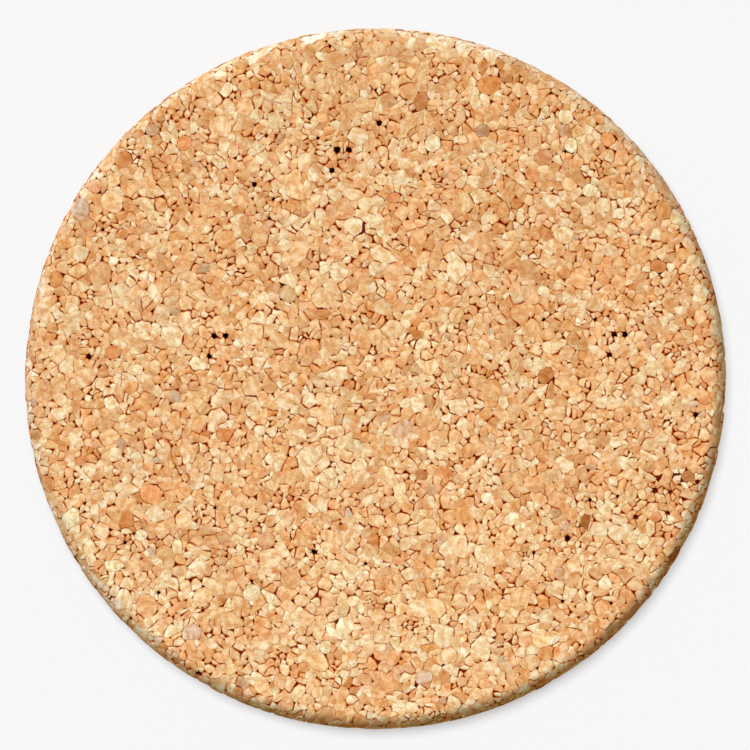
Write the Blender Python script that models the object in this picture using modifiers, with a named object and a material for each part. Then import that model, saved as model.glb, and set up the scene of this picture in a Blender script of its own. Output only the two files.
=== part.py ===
"""Round cork coaster: a pressed disc of bonded cork whose coarse granules are separate pieces.

The disc lies on the XY plane with its centre on the Z axis. Units are metres.
"""

import math
import random
from collections import namedtuple

import bmesh
import bpy
from mathutils import Matrix, Vector

MM = 0.001

# Driving dimensions
DIAMETER = 100 * MM
THICKNESS = 5 * MM
EDGE_RADIUS = 2.2 * MM
BINDER_GAP = 0.3 * MM
GRANULE_SINK = 0.04 * MM

RADIUS = DIAMETER / 2
FLAT_RADIUS = RADIUS - EDGE_RADIUS

# How finely round surfaces are divided
RIM_SIDES = 96
EDGE_SEGMENTS = 4
GRANULE_SUBDIVISIONS = 2
PORE_SUBDIVISIONS = 1
SHARP_ANGLE = math.radians(40)

# A granule's shape: depth as a share of its width, how far its middle lies under the face as a share of
# its depth, and how much its corners stand in or out
GRANULE_DEPTH = 0.85
GRANULE_BURIAL = 0.12
CORNER_RANGE = (0.90, 1.08)
SEED = 7

Granule = namedtuple("Granule", "tone x y length width turn")

# Coarse granules that stand out on the top face: place, length and width in mm, turn in degrees
TOP_GRANULES = [
    Granule("pale", 8.2, 33.5, 2.9, 2.5, 80),
    Granule("pale", 27.0, 37.2, 2.5, 2.3, 100),
    Granule("pale", 27.8, 33.2, 2.4, 2.0, 70),
    Granule("pale", 30.5, 26.7, 2.5, 2.1, 0),
    Granule("pale", -43.3, -19.8, 3.4, 2.8, 60),
    Granule("pale", -37.2, -26.5, 3.1, 2.0, 0),
    Granule("pale", -33.3, -22.2, 2.1, 1.9, 0),
    Granule("pale", -28.2, -23.8, 2.6, 1.7, 90),
    Granule("pale", 38.0, -23.0, 2.4, 2.0, 80),
    Granule("pale", -34.2, 1.3, 2.6, 1.8, 0),
    Granule("pale", -7.1, -38.1, 2.2, 1.9, 80),
    Granule("pale", -17.6, -30.4, 2.9, 2.7, 20),
    Granule("honey", -24.5, -31.0, 3.4, 2.9, 35),
    Granule("honey", -20.5, -34.4, 4.0, 2.8, -10),
    Granule("honey", -10.5, -31.5, 2.6, 1.9, -10),
    Granule("honey", 10.4, -39.4, 2.9, 2.6, 80),
    Granule("honey", 7.3, -21.0, 3.1, 2.7, 15),
    Granule("honey", 22.0, -40.3, 3.2, 2.6, 20),
    Granule("honey", 43.0, 23.1, 2.9, 2.6, 30),
    Granule("honey", -12.5, 12.0, 3.0, 2.5, 120),
    Granule("honey", 11.5, 9.0, 2.8, 2.4, 40),
    Granule("amber", 16.2, 41.7, 4.0, 2.9, 15),
    Granule("amber", 33.0, 34.0, 2.4, 2.1, -40),
    Granule("amber", -45.4, 14.1, 2.6, 2.2, 70),
    Granule("amber", 40.2, 16.0, 2.6, 2.2, 0),
    Granule("amber", 24.2, 0.4, 2.8, 2.2, 40),
    Granule("russet", 6.5, 39.4, 3.2, 2.3, 80),
    Granule("russet", 2.6, 25.7, 2.1, 1.8, 20),
    Granule("russet", 23.9, 31.4, 2.9, 2.7, 10),
    Granule("russet", -37.3, 3.7, 2.6, 2.2, 30),
    Granule("russet", -39.9, 27.4, 2.4, 2.1, 0),
    Granule("russet", -27.2, 33.5, 2.6, 2.2, 45),
    Granule("russet", 29.8, -20.3, 2.4, 1.6, 80),
    Granule("russet", 44.4, -13.9, 2.1, 1.8, 0),
    Granule("grey", 15.2, 35.2, 2.5, 1.9, 0),
    Granule("grey", -31.7, 35.3, 2.1, 1.9, 0),
    Granule("grey", 6.9, -42.4, 2.8, 2.4, 30),
    Granule("grey", -26.1, -36.1, 3.2, 2.6, 20),
]

# Granules cut by the rim, spaced round the side, and granules of the underside, spread by the golden angle
RIM_TONES = ["honey", "pale", "amber", "honey", "russet", "pale", "honey", "grey"]
RIM_START = math.radians(16)
RIM_GRANULE = (3.0 * MM, 2.3 * MM)
UNDER_TONES = RIM_TONES + ["honey", "pale", "amber", "honey"]
UNDER_SIZES = [(3.4 * MM, 2.8 * MM), (2.6 * MM, 2.2 * MM), (3.0 * MM, 2.3 * MM)]
UNDER_REACH = 44 * MM
GOLDEN_ANGLE = math.pi * (3 - math.sqrt(5))

# Open pores of the top face: place and width in mm
PORES = [
    (-5.4, 32.5, 1.2),
    (-3.8, 32.5, 1.0),
    (-6.2, 29.6, 0.9),
    (-17.2, 27.6, 0.9),
    (0.5, 36.3, 1.0),
    (-22.9, 6.1, 1.0),
    (-21.3, 6.1, 1.0),
    (-23.6, 3.2, 0.9),
    (33.9, 6.3, 1.0),
    (35.5, 6.3, 1.0),
    (33.2, 3.4, 0.9),
    (-40.7, 3.1, 1.0),
    (45.5, -5.1, 0.9),
    (-8.7, -24.6, 0.9),
    (27.3, -22.7, 1.0),
    (-25.2, -42.1, 1.2),
]

# Colours as they look under plain light, from 0 to 255
COLOURS = {
    "binder": (196, 140, 88),
    "pale": (250, 220, 164),
    "honey": (240, 194, 130),
    "amber": (222, 156, 90),
    "russet": (186, 120, 70),
    "grey": (200, 168, 142),
}
CORK_ROUGHNESS = 0.88


def clear_scene():
    for obj in list(bpy.data.objects):
        bpy.data.objects.remove(obj)


def new_collection(name):
    collection = bpy.data.collections.new(name)
    bpy.context.scene.collection.children.link(collection)
    return collection


def linear(level):
    """The light that a colour level from 0 to 255 stands for."""
    share = level / 255
    if share <= 0.04045:
        return share / 12.92
    return ((share + 0.055) / 1.055) ** 2.4


def cork_material(name):
    material = bpy.data.materials.new(f"{name}_cork")
    material.use_nodes = True
    shader = material.node_tree.nodes["Principled BSDF"]
    shader.inputs["Base Color"].default_value = (*map(linear, COLOURS[name]), 1)
    shader.inputs["Roughness"].default_value = CORK_ROUGHNESS
    shader.inputs["Metallic"].default_value = 0
    return material


def make_helper(obj):
    """Marks an object that shapes others and isn't a piece itself."""
    obj.hide_render = True
    obj.display_type = "WIRE"


def rounded_disc(name, collection, inset=0.0):
    """The coaster's outer shape: a cylinder with both edges rounded, smaller all round by inset."""
    bpy.ops.mesh.primitive_cylinder_add(
        vertices=RIM_SIDES,
        radius=RADIUS - inset,
        depth=THICKNESS - 2 * inset,
        location=(0, 0, THICKNESS / 2),
    )
    disc = bpy.context.object
    disc.name = name
    for old in list(disc.users_collection):
        old.objects.unlink(disc)
    collection.objects.link(disc)
    edge = disc.modifiers.new("edge_round", "BEVEL")
    edge.width = EDGE_RADIUS
    edge.segments = EDGE_SEGMENTS
    edge.limit_method = "ANGLE"
    edge.angle_limit = SHARP_ANGLE
    disc.data.shade_smooth()
    disc.data.set_sharp_from_angle(angle=SHARP_ANGLE)
    return disc


def seat_matrix(point, outward, turn):
    """A frame at a point of the surface with its Z axis along the outward normal."""
    facing = outward.to_track_quat("Z", "Y").to_matrix().to_4x4()
    return Matrix.Translation(point) @ facing @ Matrix.Rotation(turn, 4, "Z")


def top_seat(granule):
    """Where a granule of the top face or of the upper edge round sits."""
    x, y = granule.x * MM, granule.y * MM
    from_axis = math.hypot(x, y)
    tilt = math.asin(max(0.0, from_axis - FLAT_RADIUS) / EDGE_RADIUS)
    outward = Vector((x / from_axis * math.sin(tilt), y / from_axis * math.sin(tilt), math.cos(tilt)))
    height = THICKNESS - EDGE_RADIUS * (1 - math.cos(tilt))
    return seat_matrix(Vector((x, y, height)), outward, math.radians(granule.turn))


def rim_seat(index):
    angle = RIM_START + index * math.tau / len(RIM_TONES)
    outward = Vector((math.cos(angle), math.sin(angle), 0))
    return seat_matrix(outward * RADIUS + Vector((0, 0, THICKNESS / 2)), outward, 0)


def under_seat(index):
    from_axis = UNDER_REACH * math.sqrt((index + 0.5) / len(UNDER_TONES))
    angle = index * GOLDEN_ANGLE
    point = Vector((from_axis * math.cos(angle), from_axis * math.sin(angle), 0))
    return seat_matrix(point, Vector((0, 0, -1)), angle)


def pebble_mesh(name, length, width, chance, grow=0.0):
    """An angular cork pebble around its own middle, larger all round by grow."""
    bm = bmesh.new()
    bmesh.ops.create_icosphere(bm, subdivisions=GRANULE_SUBDIVISIONS, radius=0.5)
    for vertex in bm.verts:
        vertex.co *= chance.uniform(*CORNER_RANGE)
    bmesh.ops.scale(bm, vec=(length, width, width * GRANULE_DEPTH), verts=bm.verts)
    bm.normal_update()
    for vertex, normal in [(vertex, vertex.normal.copy()) for vertex in bm.verts]:
        vertex.co += normal * grow
    mesh = bpy.data.meshes.new(name)
    bm.to_mesh(mesh)
    bm.free()
    mesh.shade_smooth()
    mesh.set_sharp_from_angle(angle=SHARP_ANGLE)
    return mesh


class Coaster:
    """Collects the disc, its granules and their cutters."""

    def __init__(self):
        self.pieces = new_collection("cork_coaster")
        self.cutters = new_collection("cork_coaster_pockets")
        self.guides = new_collection("cork_coaster_guides")
        self.materials = {name: cork_material(name) for name in COLOURS}
        self.mould = rounded_disc("press_mould", self.guides, inset=GRANULE_SINK)
        make_helper(self.mould)
        self.counts = dict.fromkeys(COLOURS, 0)

    def add_cutter(self, name, mesh, seat):
        cutter = bpy.data.objects.new(name, mesh)
        cutter.matrix_world = seat
        self.cutters.objects.link(cutter)
        make_helper(cutter)

    def add_granule(self, tone, seat, length, width):
        """One granule, cut flush with the coaster's surface, and the pocket that it sits in."""
        self.counts[tone] += 1
        name = f"{tone}_granule_{self.counts[tone]:02d}"
        seat = seat @ Matrix.Translation((0, 0, -GRANULE_BURIAL * width * GRANULE_DEPTH))
        shape_seed = f"{SEED} {name}"
        granule = bpy.data.objects.new(name, pebble_mesh(name, length, width, random.Random(shape_seed)))
        granule.matrix_world = seat
        granule.data.materials.append(self.materials[tone])
        self.pieces.objects.link(granule)
        flush = granule.modifiers.new("flush_with_face", "BOOLEAN")
        flush.operation = "INTERSECT"
        flush.object = self.mould
        pocket = pebble_mesh(f"{name}_pocket", length, width, random.Random(shape_seed), grow=BINDER_GAP)
        self.add_cutter(pocket.name, pocket, seat)

    def add_pore(self, index, x, y, width):
        bm = bmesh.new()
        bmesh.ops.create_icosphere(bm, subdivisions=PORE_SUBDIVISIONS, radius=width / 2)
        mesh = bpy.data.meshes.new(f"pore_{index:02d}")
        bm.to_mesh(mesh)
        bm.free()
        self.add_cutter(mesh.name, mesh, Matrix.Translation((x, y, THICKNESS)))

    def add_disc(self):
        """The bonded bed, with a pocket cut for every granule and pore."""
        disc = rounded_disc("bonded_disc", self.pieces)
        disc.data.materials.append(self.materials["binder"])
        pockets = disc.modifiers.new("pockets", "BOOLEAN")
        pockets.operation = "DIFFERENCE"
        pockets.operand_type = "COLLECTION"
        pockets.collection = self.cutters


def build():
    clear_scene()
    coaster = Coaster()
    for granule in TOP_GRANULES:
        coaster.add_granule(granule.tone, top_seat(granule), granule.length * MM, granule.width * MM)
    for index, tone in enumerate(RIM_TONES):
        coaster.add_granule(tone, rim_seat(index), *RIM_GRANULE)
    for index, tone in enumerate(UNDER_TONES):
        coaster.add_granule(tone, under_seat(index), *UNDER_SIZES[index % len(UNDER_SIZES)])
    for index, (x, y, width) in enumerate(PORES, start=1):
        coaster.add_pore(index, x * MM, y * MM, width * MM)
    coaster.add_disc()


build()
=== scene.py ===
"""Looks of the round cork coaster: every granule of its surface as a solid, set in a dark bed of binder."""

import math
import random

import bpy
import numpy as np
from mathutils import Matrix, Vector, geometry, noise


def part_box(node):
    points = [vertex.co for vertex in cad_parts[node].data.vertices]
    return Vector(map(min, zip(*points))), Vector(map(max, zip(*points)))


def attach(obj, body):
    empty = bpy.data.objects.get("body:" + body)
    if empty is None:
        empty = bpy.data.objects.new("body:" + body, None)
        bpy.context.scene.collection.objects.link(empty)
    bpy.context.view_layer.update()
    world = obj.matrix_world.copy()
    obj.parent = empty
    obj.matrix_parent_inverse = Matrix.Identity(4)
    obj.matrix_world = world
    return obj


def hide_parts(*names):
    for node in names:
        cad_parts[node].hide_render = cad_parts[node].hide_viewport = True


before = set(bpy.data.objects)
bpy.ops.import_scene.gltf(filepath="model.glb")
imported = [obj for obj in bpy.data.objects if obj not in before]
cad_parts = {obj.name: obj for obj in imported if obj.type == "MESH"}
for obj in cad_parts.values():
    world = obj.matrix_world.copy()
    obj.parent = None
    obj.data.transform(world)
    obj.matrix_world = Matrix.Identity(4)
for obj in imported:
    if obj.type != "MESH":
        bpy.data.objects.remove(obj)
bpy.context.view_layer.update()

MM = 0.001

# Every chance number comes from this seed, and so does the noise, which else changes from run to run
SEED = 11
noise.seed_set(SEED)

# The coaster's shape in mm. A face is rolled out flat round its centre as far as the middle of the side
# and over it: first the flat face, then the edge's quarter round, the side and the other quarter round.
DISC_LOW, DISC_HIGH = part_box("bonded_disc")
RADIUS = (DISC_HIGH.x - DISC_LOW.x) / 2 / MM
THICKNESS = (DISC_HIGH.z - DISC_LOW.z) / MM
EDGE_RADIUS = 2.2
FLAT_RADIUS = RADIUS - EDGE_RADIUS
QUARTER_ROUND = EDGE_RADIUS * math.pi / 2
SIDE_HEIGHT = THICKNESS - 2 * EDGE_RADIUS
MID_SIDE = FLAT_RADIUS + QUARTER_ROUND + SIDE_HEIGHT / 2
RIM_SPAN = QUARTER_ROUND * 2 / 3

# The least distance from the centre that anything is divided by, in mm
TINY = 1e-9

TOP, UNDER = 1, -1
FACE_NAMES = {TOP: "top", UNDER: "under"}

# Granule sizes: least and most radius in mm, and how many are thrown at each face, large ones first
GRANULE_SIZES = [
    (0.95, 1.50, 200),
    (0.68, 0.95, 1100),
    (0.47, 0.68, 6000),
    (0.32, 0.47, 9000),
    (0.21, 0.32, 9000),
]

# How near granules may be thrown: to each other, as a share of both radii, and to a fixed shape, as a share
# of their own radius
CLOSENESS, FIXED_CLOSENESS = 0.84, 0.7

# Crumbly spots: their width in mm, the level of noise that makes them, the largest radius that they hold,
# and how much looser granules lie in them and round the edge
CRUMBLY_WIDTH, CRUMBLY_LEVEL, CRUMBLY_RADIUS = 2.6, 0.28, 0.42
LOOSENESS, RIM_LOOSENESS = 0.26, 0.06

# The worn patch near the right rim, in mm: its middle, its half widths along and across, and its turn.
# It fades towards its outline. Granules lie looser and sunk deeper there, and the bed lies deeper.
WORN_MIDDLE = (41.5, -16.6)
WORN_HALF = (6.5, 2.6)
WORN_TURN = math.radians(35)
WORN_FADE = 1.5
WORN_LOOSENESS, WORN_LEVEL_SPREAD, WORN_BED_DEPTH = 0.08, 0.25, 0.24

# Crevices between granules: their width in mm where closed and where open, the share of them that is closed,
# and how far the others lean towards closed
CREVICE_CLOSED, CREVICE_OPEN = 0.004, 0.038
CLOSED_SHARE = 0.57
CREVICE_LEANING = 1.4

# The share of crevices with the same cork on both sides, and the tones of such cork
JOINED_SHARE = 0.08
JOINING_TONES = ("pale", "honey", "amber")

# Names that stand for a granule of the frame or a pore beyond a side, and how open the crevice is there
FIXED_NAME, PORE_NAME = -1, -2
FIXED_OPENINGS = {FIXED_NAME: 0.2, PORE_NAME: 1.1}

# Pits where granules meet: how far they cut off the corners round them in mm, the most as a share of a side,
# the share of meetings without a pit, how far the others lean towards none, and how much they stain the
# corners. The frame's granules have their corners cut off alike.
CUT_LEAST, CUT_SPREAD, FIXED_CUT = 0.02, 0.36, 0.12
MOST_CUT = 0.42
SHUT_SHARE = 0.53
PIT_LEANING = 1.5
CUT_STAIN = 0.8

# Factors that turn the names of granules that meet into a chance number
CHANCE_FACTORS, CHANCE_SCALE = (12.9898, 78.233, 37.719), 43758.5453

# The square that a granule's share of the face is cut from: its corners, its half side as a share of the
# radius with the mm added, and its half diagonal as a share of the half side, rounded up
SQUARE = ((-1, -1), (1, -1), (1, 1), (-1, 1))
SQUARE_REACH, SQUARE_MARGIN, SQUARE_DIAGONAL = 2.2, 0.7, 1.5

# How sides are divided, in mm, the strength and width of the warps that bend them, the rounds that find where
# a warped point came from, and how far and how finely the sides of an open crevice are frayed, with the mean
# share of it
LONGEST_SIDE = 0.47
SHORTEST_SIDE = 0.09
WARPS = [(0.75, 7.0), (0.30, 2.6), (0.11, 1.1), (0.05, 0.45)]
UNWARP_ROUNDS = 6
FRAY, FRAY_WIDTH, FRAY_MEAN = 0.07, 0.3, 0.5

# A granule of the frame: how far under its highest point its outline is looked for, in mm, the most corners
# of the outline, and how near the middle of the side it also keeps its place free on the other face, in mm
SKIN = 0.05
FIXED_CORNERS = 8
NEAR_SIDE = 2.0

# Relief of a granule in mm: how far its top lies under the face, how far that leans towards little, how it
# domes and tilts, the highest that its rings may lie, and how deep its foot is
LEVEL_LEAST, LEVEL_SPREAD, RIM_LEVEL_SPREAD = 0.02, 0.04, 0.22
LEVEL_LEANING = 2
DOME, DOME_SHARES = 0.012, (0.3, 1)
TILT = 0.012
HIGHEST = -0.005
GRANULE_DEPTH = 0.95
SHARP_ANGLE = math.radians(50)

# The bed of binder in mm: how deep it lies under the faces and round the edge, how much deeper its hollows
# are and how wide, the gain and start of the noise that makes them, how its mesh is divided, and the bottoms
# of pores and worn holes, with their reach as a share of their width
BED_DEPTH, RIM_BED_DEPTH, RIM_BED_LEAD = 0.08, 0.36, 1.6
BED_RELIEF, BED_HOLLOW_WIDTH = 0.45, 1.3
HOLLOW_GAIN, HOLLOW_START = 2.6, 0.3
BED_RINGS, BED_SIDES = 120, 380
PORE_DEPTH, WORN_HOLE_DEPTH = 1.2, 0.34
HOLE_REACH = 0.6

# A granule's rings from its top to its edge: inset and drop in mm, share of the edge's stain, and how far
# out the ring lies on the granule's patch of the bake map. Drop and stain are those of an open crevice, and
# a closed one has a share of them. An inset is at most a share of the way to the granule's middle.
RINGS = [
    (0.22, 0.00, 0.00, 0.72),
    (0.00, 0.035, 1.00, 0.92),
]
FOOT_INSET, FOOT_STAIN, FOOT_PATCH = 0.05, 2.0, 0.985
DEEPEST_INSET = 0.45
CLOSED_RELIEF = 0.16

# The bake map: half its width in mm, the side of the square that fits in its corner, beside the round face,
# as a share of the map, how much of that square is used, and the width of a foot's own square in mm
BAKE_HALF = MID_SIDE + 2.0
BAKE_CORNER = 0.5 * (1 - math.sqrt(0.5))
BAKE_CORNER_SHARE = 0.95
BAKE_FOOT_SPAN = 8.0

# Open pores of the top face: place and width in mm, and the width and places of the finer ones
PORES = [
    (-5.4, 32.5, 0.95), (-3.8, 32.5, 0.8), (-6.2, 29.6, 0.7), (-17.2, 27.6, 0.7), (0.5, 36.3, 0.8),
    (-22.9, 6.1, 0.8), (-21.3, 6.1, 0.8), (-23.6, 3.2, 0.7), (33.9, 6.3, 0.8), (35.5, 6.3, 0.8),
    (33.2, 3.4, 0.7), (-40.7, 3.1, 0.8), (45.5, -5.1, 0.7), (-8.7, -24.6, 0.7), (27.3, -22.7, 0.8),
    (-25.2, -42.1, 0.95),
]
FINE_PORE_WIDTH = 0.45
FINE_PORES = [
    (-8.2, 34.2), (-15.5, 34.5), (-14.5, 25.5), (-15.1, 22.8), (27.0, 32.3), (34.2, 34.1), (31.2, 8.4),
    (23.9, 8.4), (-22.8, -18.3), (-24.5, -32.9), (-30.8, -30.4), (-34.8, -34.1), (-35.6, -23.3),
    (-41.3, -17.7), (-1.4, -26.3), (-17.6, -28.7), (22.5, -24.7), (26.6, -31.6), (33.5, -31.9), (-38.7, 21.2),
    (-33.6, 31.5), (30.5, -17.2), (34.4, -16.7),
]
PORES += [(x, y, FINE_PORE_WIDTH) for x, y in FINE_PORES]

# Holes of the worn patch, which are shallow
WORN_HOLES = [
    (44.4, -14.1, 0.9), (45.8, -14.7, 0.7), (39.7, -15.9, 0.8), (41.9, -16.1, 0.6), (37.0, -19.7, 0.7),
    (41.5, -19.1, 0.6), (29.7, -19.9, 0.6),
]
HOLES = PORES + WORN_HOLES

# The sides of a hole, and the small granules round it: how many, and their radius in mm
PORE_SIDES = 9
PORE_COLLAR, PORE_COLLAR_RADIUS = 6, 0.42

# Colours as they look under plain light, in levels from 0 to 255: a tone of the granules that the frame
# holds, the tone of the others, how much both vary, and the share of the others that has it
TONES = {
    "pale": ((254, 234, 186), (252, 224, 176), 5, 0.22),
    "honey": ((248, 209, 155), (248, 207, 153), 7, 0.36),
    "amber": ((227, 156, 92), (239, 185, 128), 8, 0.36),
    "russet": ((218, 153, 101), (224, 159, 101), 9, 0.035),
    "grey": ((222, 184, 148), (216, 178, 140), 7, 0.012),
}

# How far a change of hue moves red, green and blue
HUE_SHARES = np.array([0, 0.55, 1])

# Granules of the frame that are lighter or darker than their tone, in levels
FRAME_LIGHTS = {
    "pale_granule_12": -18,
    "honey_granule_07": 18,
    "honey_granule_08": -20,
    "amber_granule_02": 22,
    "amber_granule_05": -30,
    "russet_granule_04": 24,
    "russet_granule_05": 46,
    "russet_granule_06": 24,
    "russet_granule_07": -46,
    "russet_granule_08": -30,
    "grey_granule_01": -26,
    "grey_granule_03": 24,
}

# How far a granule takes its neighbour's colour along a closed crevice, and the colours of stained edges, of
# the granules' walls, and of the bed where it is hollow and elsewhere. The bed's brown is the binder's own.
# Its near black where it is hollow, in pores too, is painted shade.
SMEAR = 0.5
STAIN_COLOUR = (211, 108, 33)
WALL_COLOUR = (178, 60, 8)
BED_COLOURS_WITH_PAINTED_SHADE = (50, 7, 0), (108, 28, 3)

# How the cork's colour changes round the edge, as shares of it, at bends from the flat face to the side, and
# the share of stain that is left there. These shares are painted light. Red is held down and blue raised,
# which gives a painted whitish sheen on the lit edge and painted shade that is darkest at the steepest bend.
# The lessened stain makes the edge paler along with that painted sheen.
RIM_BENDS = np.radians([0, 20, 55, 75])
RIM_PAINTED_SHEEN_AND_SHADE = np.array([(1, 1, 1), (0.83, 0.92, 1.00), (0.77, 0.93, 1.20), (0.72, 0.80, 0.94)])
RIM_STAIN = 0.5

# Slow changes of lightness over the face: the most, their width in mm, and the change for each mm along y
DRIFT, DRIFT_WIDTH, DRIFT_SLOPE = 8, 14.0, -0.1

# How the cork of a granule changes where it is dark, light, tinted or cracked, as shares of its colour
SHADE = (0.84, 0.65, 0.47)
LIGHT = (1.07, 1.16, 1.28)
YELLOWER = (1.0, 1.05, 0.97)
PINKER = (1.0, 0.95, 1.03)
CRACK = (0.72, 0.48, 0.30)

# Patterns of the cork along its own grain, with a scale for each mm and a detail, the stretch of the streaks,
# the weight of the cells, and how far apart granules' places in the cork are, in mm
PATCH_NOISE, STREAK_NOISE, CELL_NOISE, TINT_NOISE = (1.0, 1), (0.9, 2), (4.0, 2), (2.2, 1)
CRACK_NOISE, BLOTCH_NOISE, PIT_NOISE = (0.5, 2), (1.7, 2), (5.0, 3)
NOISE_MIDDLE = 0.5
STREAK_STRETCH = (0.6, 1.7, 1)
CELL_WEIGHT = 0.35
GRAIN_SPAN = 500

# Ranges of those patterns over which the cork turns light and pinker, cracks end, stain and wall colour set
# in, and the cork turns rough, with the strength of cracks and stain
LIGHT_RANGE, TINT_RANGE = (0.95, 1.40), (0.35, 0.65)
CRACK_RANGE, CRACK_STRENGTH = (0.004, 0.014), 0.55
STAIN_RANGE, STAIN_STRENGTH = (0.60, 1.30), 0.92
WALL_RANGE = (1.1, 1.5)
CELL_RANGE, CORK_ROUGHNESS = (0.32, 0.68), (0.80, 0.97)
CORK_SPECULAR = 0.12

# Patterns of the bed, with a scale for each metre and a detail, and their ranges
MOTTLE_NOISE, MOTTLE_RANGE, MOTTLE = (1800.0, 3), (0.35, 0.65), (-0.3, 0.3)
GRIT_NOISE, GRIT_RANGE, BED_ROUGHNESS = (4000.0, 3), (0.3, 0.7), (0.7, 0.95)
BED_SPECULAR = 0.05

# Strength and depth in mm of the fine relief on cork and bed
CORK_BUMP, BED_BUMP = (0.45, 0.05), (0.8, 0.1)

# The floor's colours: as it is seen, and as it lights the coaster
PALE_GROUND = (247, 247, 247)
FLOOR_BOUNCE = (150, 119, 74)

# The photograph: its side, the disc's width and the disc's centre, in pixels
PHOTO_SIDE = 750
PHOTO_DISC = 701
PHOTO_CENTRE = (375.5, 378.7)

# Light: its direction in the picture, its share of the whole, and the lean from straight above and the
# softness of the lamp on the coaster and of the one on the floor. The rest is even light of a warm colour,
# and the lamps' colour makes up the whole to white.
LIGHT_AZIMUTH = math.radians(120)
KEY_SHARE = 0.76
KEY_LEAN, KEY_SOFTNESS = math.radians(53), math.radians(36)
FLOOR_LEAN, FLOOR_SOFTNESS = math.radians(17.4), math.radians(34)
EVEN_COLOUR = (1.0, 0.74, 0.28)

# The share of the floor's look that takes shadow, and how light that matt part is beside the ground's colour
SHADOW_SHARE = 0.50
MATT_SHARE = 0.4

# The camera's lens and sensor in mm, and the floor's side in metres
LENS = 200
SENSOR = 36
FLOOR_SIDE = 6.0


def linear(level):
    """The light that a colour level from 0 to 255 stands for."""
    share = np.asarray(level, float) / 255
    return np.where(share <= 0.04045, share / 12.92, ((share + 0.055) / 1.055) ** 2.4)


def paint(levels):
    """A node colour for levels from 0 to 255."""
    return (*linear(levels), 1.0)


# The coaster's surface, rolled out flat


def unroll_parts(flat):
    """Distance from the centre, direction, bend round the edge and drop down the side of flat points."""
    along = np.hypot(flat[:, 0], flat[:, 1])
    way = flat / np.maximum(along, TINY)[:, None]
    past = along - FLAT_RADIUS
    drop = np.clip(past - QUARTER_ROUND, 0, SIDE_HEIGHT)
    bend = np.clip(past - drop, 0, 2 * QUARTER_ROUND) / EDGE_RADIUS
    return along, way, bend, drop


def on_coaster(flat, height, face):
    """Points at a height over the coaster's surface, for points of a face rolled out flat."""
    along, way, bend, drop = unroll_parts(flat)
    from_axis = np.minimum(along, FLAT_RADIUS) + (EDGE_RADIUS + height) * np.sin(bend)
    level = THICKNESS - EDGE_RADIUS - drop + (EDGE_RADIUS + height) * np.cos(bend)
    if face == UNDER:
        level = THICKNESS - level
    return np.column_stack([way * from_axis[:, None], level])


def rolled_out(points, face):
    """Flat places, and depths under the surface, of points of the coaster."""
    from_axis = np.hypot(points[:, 0], points[:, 1])
    level = points[:, 2] if face == TOP else THICKNESS - points[:, 2]
    drop = np.clip(THICKNESS - EDGE_RADIUS - level, 0, SIDE_HEIGHT)
    over = level - (THICKNESS - EDGE_RADIUS - drop)
    past = from_axis - FLAT_RADIUS
    on_edge = past > 0
    along = np.where(on_edge, FLAT_RADIUS + EDGE_RADIUS * np.arctan2(past, over) + drop, from_axis)
    depth = EDGE_RADIUS - np.where(on_edge, np.hypot(past, over), over)
    return points[:, :2] * (along / np.maximum(from_axis, TINY))[:, None], depth


def over_the_side(flat):
    """The same points on the other face's flat chart."""
    along = np.hypot(flat[:, 0], flat[:, 1])[:, None]
    return flat * (2 * MID_SIDE - along) / np.maximum(along, TINY)


def other_face(sites):
    """Columns of x, y and radius on the other face's flat chart."""
    return np.vstack([over_the_side(sites[:2].T).T, sites[2:]])


def warp(flat, face):
    """Flat points pushed about by smooth noise, alike on both faces where they meet."""
    _, way, bend, _ = unroll_parts(flat)
    spots = on_coaster(flat, np.zeros(len(flat)), face)
    push = np.zeros_like(spots)
    for strength, width in WARPS:
        push += strength * np.array([noise.noise_vector(Vector(spot / width)) for spot in spots])
    across = np.column_stack([-way[:, 1], way[:, 0]])
    outward = (push[:, :2] * way).sum(1) * np.cos(bend) - face * push[:, 2] * np.sin(bend)
    round_axis = (push[:, :2] * across).sum(1)
    return flat + way * outward[:, None] + across * round_axis[:, None]


def unwarp(flat, face):
    """The flat points that warp moves to these."""
    found = flat
    for _ in range(UNWARP_ROUNDS):
        found = found + flat - warp(found, face)
    return found


# Granules of the frame, and pores: shapes that the other granules keep clear of


class Fixed:
    """A convex outline on a face's flat chart: a granule of the frame, with a tone, or a place kept free."""

    def __init__(self, points, tone=None, name=FIXED_NAME, light=0):
        turns = np.arange(FIXED_CORNERS) * math.tau / FIXED_CORNERS + points[0, 0]
        furthest = [(points @ (math.cos(turn), math.sin(turn))).argmax() for turn in turns]
        corners = points[np.unique(furthest)]
        self.outline = corners[geometry.convex_hull_2d([Vector(corner) for corner in corners])]
        ahead = np.roll(self.outline, -1, axis=0) - self.outline
        self.normals = np.column_stack([ahead[:, 1], -ahead[:, 0]]) / np.hypot(*ahead.T)[:, None]
        self.limits = (self.normals * self.outline).sum(1)
        self.centre = self.outline.mean(0)
        self.reach = np.hypot(*(self.outline - self.centre).T).max()
        self.tone = tone
        self.name = name
        self.light = light

    def clearances(self, spot):
        """How far a spot lies outside each side."""
        return self.normals @ spot - self.limits


def frame_granules():
    """The frame's granules as fixed outlines, with their node names, by face."""
    found = {TOP: {}, UNDER: {}}
    for name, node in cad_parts.items():
        if "granule" not in name:
            continue
        points = np.array([vertex.co for vertex in node.data.vertices]) / MM
        face = UNDER if points[:, 2].max() < THICKNESS / 2 else TOP
        flat, depth = rolled_out(points, face)
        skin = flat[depth < depth.min() + SKIN]
        tone = name.split("_")[0]
        found[face][name] = Fixed(unwarp(skin, face), tone, light=FRAME_LIGHTS.get(name, 0))
    return found


def rim_share(flat, lead=0):
    """How far points lie round the edge: nought on the flat face, one from two thirds of the quarter round.

    With a lead in mm it all lies that much further in.
    """
    past = np.hypot(flat[..., 0], flat[..., 1]) - FLAT_RADIUS + lead
    return np.clip(past / RIM_SPAN, 0, 1)


def unit_ring(count):
    """Points all round a circle of radius one."""
    turns = np.arange(count) * math.tau / count
    return np.column_stack([np.cos(turns), np.sin(turns)])


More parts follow.
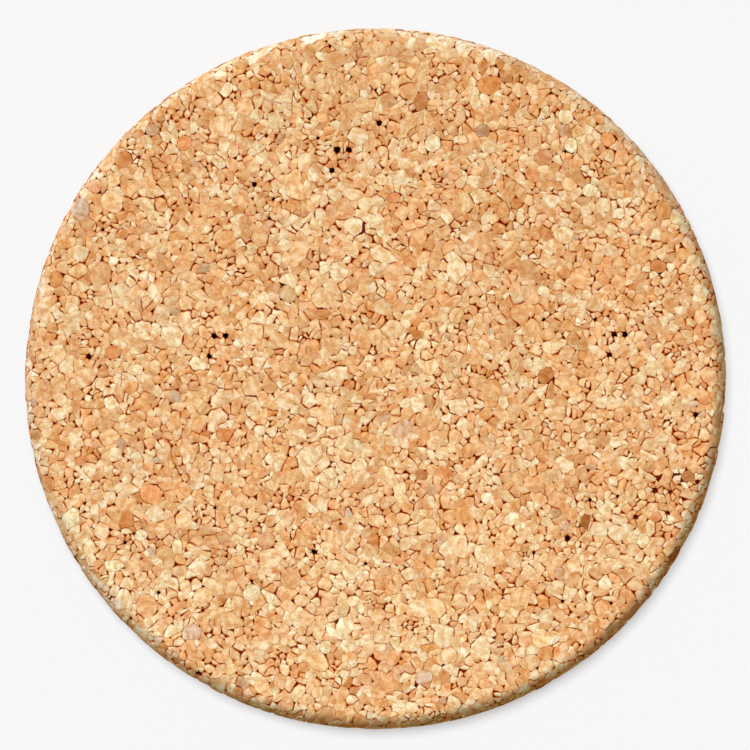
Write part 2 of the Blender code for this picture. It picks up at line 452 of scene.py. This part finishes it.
def pore_outlines():
    """The holes of the top face as fixed outlines."""
    ring = unit_ring(PORE_SIDES)
    rings = [unwarp(np.array([[x, y]]) + ring * width / 2, TOP) for x, y, width in HOLES]
    return [Fixed(points, name=PORE_NAME) for points in rings]


def pore_collars():
    """Small granules round each pore, so that it opens between granules on all sides."""
    ring = unit_ring(PORE_COLLAR)
    spots = [np.array([[x, y]]) + ring * (width / 2 + PORE_COLLAR_RADIUS) for x, y, width in HOLES]
    spots = unwarp(np.vstack(spots), TOP)
    return np.vstack([spots.T, np.full(len(spots), PORE_COLLAR_RADIUS)])


# The small granules: thrown at random, then given the space around them


def crumble(x, y):
    """How crumbly a spot of a flat chart is: the more, the smaller and looser the granules there."""
    return noise.noise(Vector((x, y, 0)) / CRUMBLY_WIDTH)


def worn(flat, face):
    """How worn points of a flat chart are: one in the middle of the worn patch, and nought outside it."""
    from_middle = flat - np.array(WORN_MIDDLE)
    along = (from_middle @ (math.cos(WORN_TURN), math.sin(WORN_TURN))) / WORN_HALF[0]
    across = (from_middle @ (-math.sin(WORN_TURN), math.cos(WORN_TURN))) / WORN_HALF[1]
    return np.clip(WORN_FADE - WORN_FADE * np.hypot(along, across), 0, 1) if face == TOP else 0


def looseness(spot, face):
    """How much looser than elsewhere granules lie at a spot of a flat chart."""
    return LOOSENESS * crumble(*spot) + WORN_LOOSENESS * worn(spot, face) + RIM_LOOSENESS * rim_share(spot)


def throw_granules(chance, fixed, taken):
    """Adds granules to a face where they fit among those taken before: columns of x, y and radius."""
    fixed_centres = np.array([shape.centre for shape in fixed])
    fixed_reach = np.array([shape.reach for shape in fixed])
    count = taken.shape[1]
    taken = np.pad(taken, ((0, 0), (0, sum(throws for *_, throws in GRANULE_SIZES))))
    for least, most, throws in GRANULE_SIZES:
        for _ in range(throws):
            radius = chance.uniform(least, most)
            along = MID_SIDE * math.sqrt(chance.random())
            turn = chance.uniform(0, math.tau)
            x, y = along * math.cos(turn), along * math.sin(turn)
            if radius > CRUMBLY_RADIUS and crumble(x, y) > CRUMBLY_LEVEL:
                continue
            other_x, other_y, other_radius = taken[:, :count]
            room = (other_x - x) ** 2 + (other_y - y) ** 2 - (CLOSENESS * (other_radius + radius)) ** 2
            if room.min() < 0:
                continue
            near = np.flatnonzero(np.hypot(*(fixed_centres - (x, y)).T) < fixed_reach + radius)
            clear = FIXED_CLOSENESS * radius
            if any(fixed[index].clearances((x, y)).max() < clear for index in near):
                continue
            taken[:, count] = x, y, radius
            count += 1
    return taken[:, :count]


def cut(corners, normal_x, normal_y, limit, neighbour):
    """The part of a convex polygon on the near side of a line.

    Each corner holds its place and the name of what lies beyond its next side.
    """
    kept = []
    ax, ay, past_a = corners[-1]
    beyond_a = normal_x * ax + normal_y * ay - limit
    for bx, by, past_b in corners:
        beyond_b = normal_x * bx + normal_y * by - limit
        if (beyond_a < 0) != (beyond_b < 0):
            share = beyond_a / (beyond_a - beyond_b)
            past = neighbour if beyond_a < 0 else past_a
            kept.append((ax + share * (bx - ax), ay + share * (by - ay), past))
        if beyond_b < 0:
            kept.append((bx, by, past_b))
        ax, ay, past_a, beyond_a = bx, by, past_b, beyond_b
    return kept


def area(corners):
    """The area of a polygon."""
    pairs = zip(corners[-1:] + corners[:-1], corners)
    return sum(ax * by - bx * ay for (ax, ay, _), (bx, by, _) in pairs) / 2


def shared_chance(*names):
    """A chance number for granules that meet, the same whichever of them asks."""
    total = sum(name * factor for name, factor in zip(sorted(names), CHANCE_FACTORS))
    return math.sin(total) * CHANCE_SCALE % 1


def opened(share, least):
    """Nought up to the least share, and from there to one."""
    return min(max((share - least) / (1 - least), 0), 1)


def crevice_opening(name, neighbour, loose):
    """How open the crevice between a granule and its neighbour is."""
    if neighbour in FIXED_OPENINGS:
        return FIXED_OPENINGS[neighbour]
    return opened(shared_chance(name, neighbour) + loose, CLOSED_SHARE) ** CREVICE_LEANING


def pit_opening(name, before, after, loose):
    """How open the pit is where a granule meets two neighbours."""
    if before in FIXED_OPENINGS or after in FIXED_OPENINGS:
        return 0
    return opened(shared_chance(name, before, after) + loose, SHUT_SHARE) ** PIT_LEANING


def crevice_width(opening):
    """The width in mm of a crevice that is so far open."""
    return CREVICE_CLOSED + (CREVICE_OPEN - CREVICE_CLOSED) * opening


def granule_cell(index, sites, names, fixed, loose):
    """A granule's share of the flat chart: nearer to it than to its neighbours, less half the crevices."""
    x, y, radius = sites[:, index]
    reach = SQUARE_REACH * radius + SQUARE_MARGIN
    corners = [(x + reach * across, y + reach * up, FIXED_NAME) for across, up in SQUARE]
    far = 2 * reach
    near = np.flatnonzero((np.abs(sites[0] - x) < far) & (np.abs(sites[1] - y) < far))
    near = near[near != index]
    away = sites[:2, near] - sites[:2, [index]]
    distance = np.hypot(*away)
    middle = (distance**2 + radius**2 - sites[2, near] ** 2) / (2 * distance)
    for row in np.argsort(middle):
        if middle[row] > max(math.hypot(corner[0] - x, corner[1] - y) for corner in corners):
            break
        normal_x, normal_y = away[:, row] / distance[row]
        neighbour = names[near[row]]
        width = crevice_width(crevice_opening(names[index], neighbour, loose))
        limit = normal_x * x + normal_y * y + middle[row] - width / 2
        corners = cut(corners, normal_x, normal_y, limit, neighbour)
        if len(corners) < 3:
            return []
    gap = crevice_width(FIXED_OPENINGS[FIXED_NAME])
    for shape in fixed:
        if math.hypot(shape.centre[0] - x, shape.centre[1] - y) > shape.reach + SQUARE_DIAGONAL * reach:
            continue
        sides = zip(-shape.normals, -shape.limits - gap)
        corners = max((cut(corners, *normal, limit, shape.name) for normal, limit in sides), key=area)
        if len(corners) < 3:
            return []
    return corners


def frayed(x, y, name, opening, middle):
    """A point of a crevice, drawn in towards the granule's middle by chance, and how open it is there."""
    ragged = FRAY_MEAN + noise.noise(Vector((x, y, name)) / FRAY_WIDTH)
    share = FRAY * opening * ragged / math.hypot(middle[0] - x, middle[1] - y)
    open_here = opening * (1 - FRAY_MEAN + ragged)
    return x + (middle[0] - x) * share, y + (middle[1] - y) * share, open_here


def rounded(name, corners, loose):
    """A granule's outline with its corners cut off by pits and its sides divided and frayed.

    Each point has its place, how open its crevice is, and the name of the neighbour beyond.
    """
    beyond = [neighbour for *_, neighbour in corners]
    pits = [pit_opening(name, *both, loose) for both in zip(beyond[-1:] + beyond[:-1], beyond)]
    cuts = [CUT_LEAST + CUT_SPREAD * pit if pit else 0 for pit in pits]
    if name == FIXED_NAME:
        cuts = [FIXED_CUT] * len(corners)
    middle = np.mean(corners, axis=0)[:2]
    points = []
    for index, (ax, ay, neighbour) in enumerate(corners):
        following = (index + 1) % len(corners)
        bx, by, _ = corners[following]
        opening = crevice_opening(name, neighbour, loose)
        length = math.hypot(bx - ax, by - ay)
        if length < SHORTEST_SIDE:
            points.append(((ax + bx) / 2, (ay + by) / 2, opening, neighbour))
            continue
        start, end = (min(cuts[corner], MOST_CUT * length) for corner in (index, following))
        straight = length - start - end
        steps = 1 + int(straight / LONGEST_SIDE)
        for step in range(steps + 1 if end else steps):
            share = (start + straight * step / steps) / length
            x, y = ax + (bx - ax) * share, ay + (by - ay) * share
            x, y, open_here = frayed(x, y, name, opening, middle)
            stain = CUT_STAIN * {0: pits[index], steps: pits[following]}.get(step, 0)
            points.append((x, y, open_here + stain, neighbour))
    return np.array(points)


# Solids


class Look:
    """The chances that set how a granule lies and what its cork is like.

    A granule of the frame comes with its fixed outline as what is known of it.
    """

    def __init__(self, tone, chance, spot, known=None):
        self.tone = tone
        self.sunk = chance.random() ** LEVEL_LEANING
        self.dome = DOME * chance.uniform(*DOME_SHARES)
        self.tilt = [chance.gauss(0, TILT), chance.gauss(0, TILT)]
        known_base, base, variety, _ = TONES[tone]
        drift = DRIFT * noise.noise(Vector((*spot, 0)) / DRIFT_WIDTH) + DRIFT_SLOPE * spot[1]
        light, hue = chance.gauss(drift, variety), chance.gauss(0, variety)
        levels = np.add(known_base, known.light) if known else np.array(base)
        levels = levels + light + hue * HUE_SHARES
        self.colour = linear(levels.clip(0, 255))
        self.grain_turn = chance.uniform(0, math.tau)
        self.grain_place = [chance.uniform(0, GRAIN_SPAN) for _ in range(2)]


class Granule:
    """A granule's outline on its face's flat chart, how open its crevices are there, and its look."""

    def __init__(self, name, corners, look, loose):
        outline = rounded(name, corners, loose)
        self.outline = outline[:, :2]
        self.openings = outline[:, 2]
        self.neighbours = outline[:, 3]
        self.look = look

    def smear(self, looks):
        """Sets the colours along the outline: its own, mixed with neighbours' where crevices are closed."""
        own = self.look.colour
        beyond = np.array([looks[name].colour if name in looks else own for name in self.neighbours])
        share = SMEAR * (1 - self.openings).clip(0)
        self.edge_colours = own + (beyond - own) * share[:, None]


def pick_tone(chance):
    """A tone by chance, with the shares of the tones."""
    return chance.choices(list(TONES), [share for *_, share in TONES.values()])[0]


def face_granules(face, chance, sites, names, own, fixed):
    """All granules of one face: the frame's first, then the thrown ones, some joined to one before them."""
    granules = []
    for shape in fixed:
        if shape.tone:
            corners = [(x, y, FIXED_NAME) for x, y in shape.outline]
            look = Look(shape.tone, chance, shape.centre, shape)
            granules.append(Granule(FIXED_NAME, corners, look, 0))
    looks = {}
    for index in range(own):
        name = names[index]
        spot = sites[:2, index]
        look = Look(pick_tone(chance), chance, spot)
        loose = looseness(spot, face)
        corners = granule_cell(index, sites, names, fixed, loose)
        if len(corners) < 3:
            continue
        for *_, neighbour in corners:
            joined = neighbour in looks and shared_chance(name, neighbour) < JOINED_SHARE
            if joined and looks[neighbour].tone in JOINING_TONES:
                look = looks[neighbour]
        looks[name] = look
        granules.append(Granule(name, corners, look, loose))
    for granule in granules:
        granule.smear(looks)
    outlines = warp(np.vstack([granule.outline for granule in granules]), face)
    ends = np.cumsum([len(granule.outline) for granule in granules])
    for granule, points in zip(granules, np.split(outlines, ends[:-1])):
        granule.outline = points
    return granules


def per_granule(granules, trait):
    """One trait of the looks of granules."""
    return np.array([getattr(granule.look, trait) for granule in granules])


def granule_levels(granules, middle, face):
    """How high the tops of granules lie: lower round the edge and in the worn patch."""
    depth = LEVEL_SPREAD + RIM_LEVEL_SPREAD * rim_share(middle) + WORN_LEVEL_SPREAD * worn(middle, face)
    return -LEVEL_LEAST - per_granule(granules, "sunk") * depth


def painted_rim_sheen_and_shade(flat):
    """How the cork's colour is changed at flat points round the edge, as shares of it: painted shade and a
    painted whitish sheen.
    """
    _, _, bend, _ = unroll_parts(flat)
    return np.column_stack([np.interp(bend, RIM_BENDS, tones) for tones in RIM_PAINTED_SHEEN_AND_SHADE.T])


def granule_mesh(name, granules, face):
    """One mesh of many granules, each a closed solid with a domed top, soft shoulders and upright walls."""
    counts = np.array([len(granule.outline) for granule in granules])
    starts = np.cumsum(counts) - counts
    owner = np.repeat(np.arange(len(granules)), counts)
    outline = np.vstack([granule.outline for granule in granules])
    middle = np.add.reduceat(outline, starts) / counts[:, None]
    arm = outline - middle[owner]
    arm_length = np.hypot(*arm.T)
    dome, tilt, colour = (per_granule(granules, trait) for trait in ("dome", "tilt", "colour"))
    edge_colour = np.vstack([granule.edge_colours for granule in granules])
    colours = np.vstack([colour, colour[owner], edge_colour, edge_colour])
    level = granule_levels(granules, middle, face)
    opening = np.concatenate([granule.openings for granule in granules])
    relief = CLOSED_RELIEF + (1 - CLOSED_RELIEF) * opening

    flat, height, stain, patch = [middle], [level + dome], [np.zeros(len(middle))], [middle]
    for inset, drop, stain_share, patch_share in RINGS:
        scale = 1 - np.minimum(inset / arm_length, DEEPEST_INSET)
        rise = level[owner] + dome[owner] * (1 - scale**2) + scale * (tilt[owner] * arm).sum(1)
        flat.append(middle[owner] + arm * scale[:, None])
        height.append(np.minimum(rise, HIGHEST) - drop * relief)
        # Less stain round the edge, which makes it paler along with the painted sheen
        stain.append(stain_share * relief * (1 - (1 - RIM_STAIN) * rim_share(outline)))
        patch.append(middle[owner] + arm * patch_share)
    foot_scale = 1 - np.minimum(FOOT_INSET / arm_length, DEEPEST_INSET)
    flat.append(middle[owner] + arm * foot_scale[:, None])
    height.append(np.full(len(arm), -GRANULE_DEPTH))
    stain.append(np.full(len(arm), FOOT_STAIN))
    patch.append(middle[owner] + arm * FOOT_PATCH)
    flat, height, stain, patch = map(np.concatenate, (flat, height, stain, patch))
    whose = np.concatenate([np.arange(len(granules)), np.tile(owner, len(RINGS) + 1)])

    mesh = bpy.data.meshes.new(name)
    faces = granule_faces(counts, starts, owner)
    if face == UNDER:
        faces = [corners[::-1] for corners in faces]
    mesh.from_pydata(on_coaster(flat, height, face) * MM, [], faces)
    mesh.shade_smooth()
    mesh.set_sharp_from_angle(angle=SHARP_ANGLE)
    # The colours round the edge are multiplied by painted shade and a painted whitish sheen
    add_colours(mesh, colours * painted_rim_sheen_and_shade(flat), stain)
    add_grain(mesh, granules, whose, flat, height)
    add_bake_map(mesh, patch, arm, owner)
    return mesh


def granule_faces(counts, starts, owner):
    """Corner lists: a fan on each top, bands of quads from ring to ring, and one face under each foot."""
    rows = np.arange(len(owner))
    ahead = np.where(rows + 1 == (starts + counts)[owner], starts[owner], rows + 1)
    ring_starts = len(counts) + len(owner) * np.arange(len(RINGS) + 1)
    faces = np.column_stack([owner, ring_starts[0] + rows, ring_starts[0] + ahead]).tolist()
    for upper, lower in zip(ring_starts, ring_starts[1:]):
        faces += np.column_stack([upper + rows, lower + rows, lower + ahead, upper + ahead]).tolist()
    feet = np.split(ring_starts[-1] + rows, starts[1:])
    faces += [foot[::-1].tolist() for foot in feet]
    return faces


def add_colours(mesh, colours, stain):
    """Each point's colour, with the stain of the crevices in the place of alpha."""
    layer = mesh.color_attributes.new("tone", "FLOAT_COLOR", "POINT")
    layer.data.foreach_set("color", np.column_stack([colours, stain]).ravel())


def add_grain(mesh, granules, whose, flat, height):
    """Each granule's own place and direction in the cork that it was ground from, in mm."""
    turn = per_granule(granules, "grain_turn")[whose]
    place = per_granule(granules, "grain_place")[whose]
    x = flat[:, 0] * np.cos(turn) - flat[:, 1] * np.sin(turn) + place[:, 0]
    y = flat[:, 0] * np.sin(turn) + flat[:, 1] * np.cos(turn) + place[:, 1]
    layer = mesh.attributes.new("grain", "FLOAT_VECTOR", "POINT")
    layer.data.foreach_set("vector", np.column_stack([x, y, height]).ravel())


def add_bake_map(mesh, patch, arm, owner):
    """A map that shows the face rolled out flat, with the hidden feet in small squares in one corner."""
    corner_vertex = np.empty(len(mesh.loops), np.int32)
    mesh.loops.foreach_get("vertex_index", corner_vertex)
    uv = 0.5 + patch[corner_vertex] / (2 * BAKE_HALF)
    columns = math.ceil(math.sqrt(owner[-1] + 1))
    square = BAKE_CORNER * BAKE_CORNER_SHARE / columns
    foot_rows = corner_vertex[-len(arm) :] - (len(patch) - len(arm))
    whose = owner[foot_rows]
    squares = np.column_stack([whose % columns, whose // columns])
    uv[-len(arm) :] = square * (squares + 0.5 + arm[foot_rows] / BAKE_FOOT_SPAN)
    layer = mesh.uv_layers.new(name="OFBake")
    layer.data.foreach_set("uv", uv.ravel())


def bed_points(face):
    """Rings of points of the bed under a face, from the middle outwards, and how hollow the bed is there."""
    along = np.linspace(0, MID_SIDE, BED_RINGS + 1)[1:]
    turns = np.arange(BED_SIDES) * math.tau / BED_SIDES
    flat = np.array([[out * math.cos(turn), out * math.sin(turn)] for out in along for turn in turns])
    spots = on_coaster(flat, np.zeros(len(flat)), face)
    waves = np.array([noise.noise(Vector(spot / BED_HOLLOW_WIDTH)) for spot in spots])
    hollow = (HOLLOW_GAIN * waves - HOLLOW_START).clip(0, 1)
    depth = BED_DEPTH + (RIM_BED_DEPTH - BED_DEPTH) * rim_share(flat, RIM_BED_LEAD)
    depth += BED_RELIEF * hollow + WORN_BED_DEPTH * worn(flat, face)
    if face == TOP:
        # Pores are set fully hollow, so the bed in them takes the near black of the painted shade
        sink_holes(PORES, PORE_DEPTH, 1, flat, depth, hollow)
        sink_holes(WORN_HOLES, WORN_HOLE_DEPTH, 0, flat, depth, hollow)
    return on_coaster(flat, -depth, face), hollow


def sink_holes(holes, hole_depth, hole_hollow, flat, depth, hollow):
    """Sets how deep and how hollow the bed's flat points are where they lie in holes."""
    for x, y, width in holes:
        in_hole = np.hypot(flat[:, 0] - x, flat[:, 1] - y) < HOLE_REACH * width
        depth[in_hole] = hole_depth
        hollow[in_hole] = hole_hollow


def bed_mesh():
    """The binder under the granules: the coaster's shape drawn in, with an uneven skin and deep pores."""
    top, top_hollow = bed_points(TOP)
    under, under_hollow = bed_points(UNDER)
    under, under_hollow = under[:-BED_SIDES], under_hollow[:-BED_SIDES]
    middles = [[0, 0, THICKNESS - BED_DEPTH], [0, 0, BED_DEPTH]]
    points = np.vstack([top, under, middles])
    rows = np.arange(BED_SIDES)
    ahead = (rows + 1) % BED_SIDES
    top_rings = [ring * BED_SIDES for ring in range(BED_RINGS)]
    under_rings = [len(top) + ring for ring in top_rings[:-1]]
    rings = top_rings + under_rings[::-1]
    top_middle = np.full(BED_SIDES, len(points) - 2)
    under_middle = np.full(BED_SIDES, len(points) - 1)
    faces = np.column_stack([top_middle, rings[0] + rows, rings[0] + ahead]).tolist()
    for upper, lower in zip(rings, rings[1:]):
        faces += np.column_stack([upper + rows, lower + rows, lower + ahead, upper + ahead]).tolist()
    faces += np.column_stack([under_middle, rings[-1] + ahead, rings[-1] + rows]).tolist()
    mesh = bpy.data.meshes.new("binder_bed")
    mesh.from_pydata(points * MM, [], faces)
    mesh.shade_smooth()
    layer = mesh.attributes.new("hollow", "FLOAT", "POINT")
    layer.data.foreach_set("value", np.concatenate([top_hollow, under_hollow, [0, 0]]))
    return mesh


# Materials

# The sockets of a mix node for colours: two that go in and one that comes out
MIX_FIRST, MIX_SECOND, MIX_RESULT = 6, 7, 2


def add_node(tree, kind, inputs=(), **settings):
    """A node with its settings, and inputs that are values or other nodes' outputs."""
    node = tree.nodes.new(kind)
    for key, value in settings.items():
        setattr(node, key, value)
    for key, value in dict(inputs).items():
        if isinstance(value, bpy.types.NodeSocket):
            tree.links.new(value, node.inputs[key])
        else:
            node.inputs[key].default_value = value
    return node


def noise_fac(tree, vector, scale, detail):
    """Smooth noise from 0 to 1 with its middle at a half."""
    pattern = add_node(tree, "ShaderNodeTexNoise", {"Vector": vector, "Scale": scale, "Detail": detail})
    return pattern.outputs["Fac"]


def spread(tree, value, low, high, start=0.0, end=1.0):
    """A value that goes from start to end while another goes from low to high."""
    ends = {"Value": value, "From Min": low, "From Max": high, "To Min": start, "To Max": end}
    return add_node(tree, "ShaderNodeMapRange", ends).outputs["Result"]


def math_node(tree, operation, first, second=0.0):
    """A number worked out from one or two others."""
    return add_node(tree, "ShaderNodeMath", {0: first, 1: second}, operation=operation).outputs[0]


def times(tree, colour, shares):
    """A colour or place with each of its parts multiplied."""
    return add_node(tree, "ShaderNodeVectorMath", {0: colour, 1: shares}, operation="MULTIPLY").outputs[0]


def blend(tree, share, first, second):
    """A first colour that gives way to a second by a share."""
    inputs = {"Factor": share, MIX_FIRST: first, MIX_SECOND: second}
    return add_node(tree, "ShaderNodeMix", inputs, data_type="RGBA").outputs[MIX_RESULT]


def add_bump(tree, shader, height, strength, distance):
    """Gives a shader fine relief, with its depth in mm."""
    inputs = {"Height": height, "Strength": strength, "Distance": distance * MM}
    bump = add_node(tree, "ShaderNodeBump", inputs)
    tree.links.new(bump.outputs[0], shader.inputs["Normal"])


def new_material(name):
    """A material, its nodes and its main shader."""
    material = bpy.data.materials.new(name)
    material.use_nodes = True
    return material, material.node_tree, material.node_tree.nodes["Principled BSDF"]


def cork_material(tone):
    """Cork of one tone: each granule's own colour, with patches, growth streaks, cells and fine cracks."""
    material, tree, shader = new_material(f"{tone}_cork")
    tone_layer = add_node(tree, "ShaderNodeAttribute", attribute_name="tone").outputs
    colour, edge = tone_layer["Color"], tone_layer["Alpha"]
    grain = add_node(tree, "ShaderNodeAttribute", attribute_name="grain").outputs["Vector"]
    patches = noise_fac(tree, grain, *PATCH_NOISE)
    streaks = noise_fac(tree, times(tree, grain, STREAK_STRETCH), *STREAK_NOISE)
    cells = noise_fac(tree, grain, *CELL_NOISE)
    both = math_node(tree, "ADD", patches, streaks)
    total = math_node(tree, "ADD", both, math_node(tree, "MULTIPLY", cells, CELL_WEIGHT))
    lightness = spread(tree, total, *LIGHT_RANGE)
    hue = spread(tree, noise_fac(tree, grain, *TINT_NOISE), *TINT_RANGE)
    tinted = blend(tree, hue, times(tree, colour, YELLOWER), times(tree, colour, PINKER))
    cork = blend(tree, lightness, times(tree, tinted, SHADE), times(tree, tinted, LIGHT))
    off_middle = math_node(tree, "SUBTRACT", noise_fac(tree, grain, *CRACK_NOISE), NOISE_MIDDLE)
    ridge = math_node(tree, "ABSOLUTE", off_middle)
    crack = spread(tree, ridge, *CRACK_RANGE, CRACK_STRENGTH, 0.0)
    cracked = blend(tree, crack, cork, times(tree, cork, CRACK))
    blotches = noise_fac(tree, grain, *BLOTCH_NOISE)
    stain = spread(tree, math_node(tree, "ADD", edge, blotches), *STAIN_RANGE, 0.0, STAIN_STRENGTH)
    stained = blend(tree, stain, cracked, paint(STAIN_COLOUR))
    walled = blend(tree, spread(tree, edge, *WALL_RANGE), stained, paint(WALL_COLOUR))
    tree.links.new(walled, shader.inputs["Base Color"])
    tree.links.new(spread(tree, cells, *CELL_RANGE, *CORK_ROUGHNESS), shader.inputs["Roughness"])
    pits = math_node(tree, "SUBTRACT", noise_fac(tree, grain, *PIT_NOISE), crack)
    add_bump(tree, shader, pits, *CORK_BUMP)
    shader.inputs["Specular IOR Level"].default_value = CORK_SPECULAR
    return material


def bed_material():
    """Binder and cork dust down in the crevices: brown, and painted nearly black as shade where the bed is
    hollow.
    """
    material, tree, shader = new_material("binder_bed")
    place = add_node(tree, "ShaderNodeTexCoord").outputs["Object"]
    hollow = add_node(tree, "ShaderNodeAttribute", attribute_name="hollow").outputs["Fac"]
    mottle = spread(tree, noise_fac(tree, place, *MOTTLE_NOISE), *MOTTLE_RANGE, *MOTTLE)
    dark, light = map(paint, BED_COLOURS_WITH_PAINTED_SHADE)
    # The bed's colour goes towards near black as it gets more hollow: painted shade in hollows and pores
    mixed = blend(tree, math_node(tree, "ADD", hollow, mottle), light, dark)
    tree.links.new(mixed, shader.inputs["Base Color"])
    grit = noise_fac(tree, place, *GRIT_NOISE)
    tree.links.new(spread(tree, grit, *GRIT_RANGE, *BED_ROUGHNESS), shader.inputs["Roughness"])
    add_bump(tree, shader, grit, *BED_BUMP)
    shader.inputs["Specular IOR Level"].default_value = BED_SPECULAR
    return material


# Stage


def seen_directly(tree):
    """One for rays that show things, also by way of a mirror or glass, and nought for others."""
    path = add_node(tree, "ShaderNodeLightPath").outputs
    either = math_node(tree, "MAXIMUM", path["Is Camera Ray"], path["Is Glossy Ray"])
    return math_node(tree, "MAXIMUM", either, path["Is Transmission Ray"])


def add_floor():
    """A plain pale floor that keeps part of the coaster's shadow and throws back little light.

    Part of it glows. The matt part is darker and its lamp stronger, so that the coaster hardly lights it.
    """
    bpy.ops.mesh.primitive_plane_add(size=FLOOR_SIDE)
    floor = bpy.context.object
    floor.name = "floor"
    material, tree, shader = new_material("pale_floor")
    tree.nodes.remove(shader)
    matt_colour = (*linear(PALE_GROUND) * MATT_SHARE, 1)
    matt = add_node(tree, "ShaderNodeBsdfDiffuse", {"Color": matt_colour}).outputs[0]
    glow = add_node(tree, "ShaderNodeEmission", {"Color": paint(PALE_GROUND), "Strength": 1.0}).outputs[0]
    softened = add_node(tree, "ShaderNodeMixShader", {0: SHADOW_SHARE, 1: glow, 2: matt}).outputs[0]
    bounce = add_node(tree, "ShaderNodeBsdfDiffuse", {"Color": paint(FLOOR_BOUNCE)}).outputs[0]
    seen = add_node(tree, "ShaderNodeMixShader", {0: seen_directly(tree), 1: bounce, 2: softened})
    tree.links.new(seen.outputs[0], tree.nodes["Material Output"].inputs["Surface"])
    floor.data.materials.append(material)
    return floor


def add_world():
    """Even light from all round, with a pale ground behind everything."""
    world = bpy.data.worlds.new("studio")
    world.use_nodes = True
    tree = world.node_tree
    light = tree.nodes["Background"]
    light.inputs["Color"].default_value = (*EVEN_COLOUR, 1)
    light.inputs["Strength"].default_value = 1 - KEY_SHARE
    ground = add_node(tree, "ShaderNodeBackground", {"Color": paint(PALE_GROUND), "Strength": 1.0})
    sources = {0: seen_directly(tree), 1: light.outputs[0], 2: ground.outputs[0]}
    mixed = add_node(tree, "ShaderNodeMixShader", sources)
    tree.links.new(mixed.outputs[0], tree.nodes["World Output"].inputs["Surface"])
    bpy.context.scene.world = world


def add_lamp(name, lean, softness, strength, floor, link_state):
    """A soft lamp from the picture's upper left, for the floor alone or for all but the floor.

    With the even light it gives a level face white light of the strength.
    """
    data = bpy.data.lights.new(name, "SUN")
    data.energy = math.pi / math.cos(lean)
    data.color = [strength - (1 - KEY_SHARE) * even for even in EVEN_COLOUR]
    data.angle = softness
    lamp = bpy.data.objects.new(name, data)
    lamp.rotation_euler = (lean, 0, LIGHT_AZIMUTH + math.pi / 2)
    bpy.context.scene.collection.objects.link(lamp)
    receivers = bpy.data.collections.new(f"{name}_receivers")
    receivers.objects.link(floor)
    receivers.collection_objects[0].light_linking.link_state = link_state
    lamp.light_linking.receiver_collection = receivers


def add_camera():
    """A camera straight above, with the disc as large and as far off centre as in the photograph."""
    pixel = 2 * RADIUS * MM / PHOTO_DISC
    data = bpy.data.cameras.new("photo_camera")
    data.lens = LENS
    data.sensor_width = SENSOR
    camera = bpy.data.objects.new("photo_camera", data)
    x = (PHOTO_SIDE / 2 - PHOTO_CENTRE[0]) * pixel
    y = (PHOTO_CENTRE[1] - PHOTO_SIDE / 2) * pixel
    camera.location = (x, y, THICKNESS * MM / 2 + PHOTO_SIDE * pixel * LENS / SENSOR)
    bpy.context.scene.collection.objects.link(camera)
    bpy.context.scene.camera = camera


# The whole model


def add_piece(name, mesh, material, nodes):
    """A piece that rides on the coaster's one body and stands for some of the frame's nodes."""
    mesh.materials.append(material)
    piece = bpy.data.objects.new(name, mesh)
    bpy.context.scene.collection.objects.link(piece)
    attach(piece, "root")
    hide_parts(*nodes)


def add_coaster():
    """All pieces of the coaster: the granules by face and tone, and the bed under them."""
    chance = random.Random(SEED)
    known = frame_granules()
    fixed = {TOP: [*known[TOP].values(), *pore_outlines()], UNDER: list(known[UNDER].values())}
    for shape in known[TOP].values():
        if np.hypot(*shape.centre) > MID_SIDE - NEAR_SIDE:
            fixed[UNDER].append(Fixed(over_the_side(shape.outline)))
    top_sites = throw_granules(chance, fixed[TOP], pore_collars())
    both_sites = throw_granules(chance, fixed[UNDER], other_face(top_sites))
    count = top_sites.shape[1]
    under_sites = both_sites[:, count:]
    sites = {TOP: np.hstack([top_sites, other_face(under_sites)]), UNDER: np.roll(both_sites, -count, axis=1)}
    top_names = np.arange(both_sites.shape[1])
    names = {TOP: top_names, UNDER: np.roll(top_names, -count)}
    own = {TOP: count, UNDER: under_sites.shape[1]}
    materials = {tone: cork_material(tone) for tone in TONES}
    for face in (TOP, UNDER):
        granules = face_granules(face, chance, sites[face], names[face], own[face], fixed[face])
        for tone in TONES:
            name = f"{tone}_granules_{FACE_NAMES[face]}"
            chosen = [granule for granule in granules if granule.look.tone == tone]
            nodes = [node for node, shape in known[face].items() if shape.tone == tone]
            add_piece(name, granule_mesh(name, chosen, face), materials[tone], nodes)
    add_piece("binder_bed", bed_mesh(), bed_material(), ["bonded_disc"])


add_coaster()
floor = add_floor()
add_world()
add_lamp("key_lamp", KEY_LEAN, KEY_SOFTNESS, 1, floor, "EXCLUDE")
add_lamp("floor_lamp", FLOOR_LEAN, FLOOR_SOFTNESS, 1 / MATT_SHARE, floor, "INCLUDE")
add_camera()
bpy.context.scene.view_settings.view_transform = "Standard"
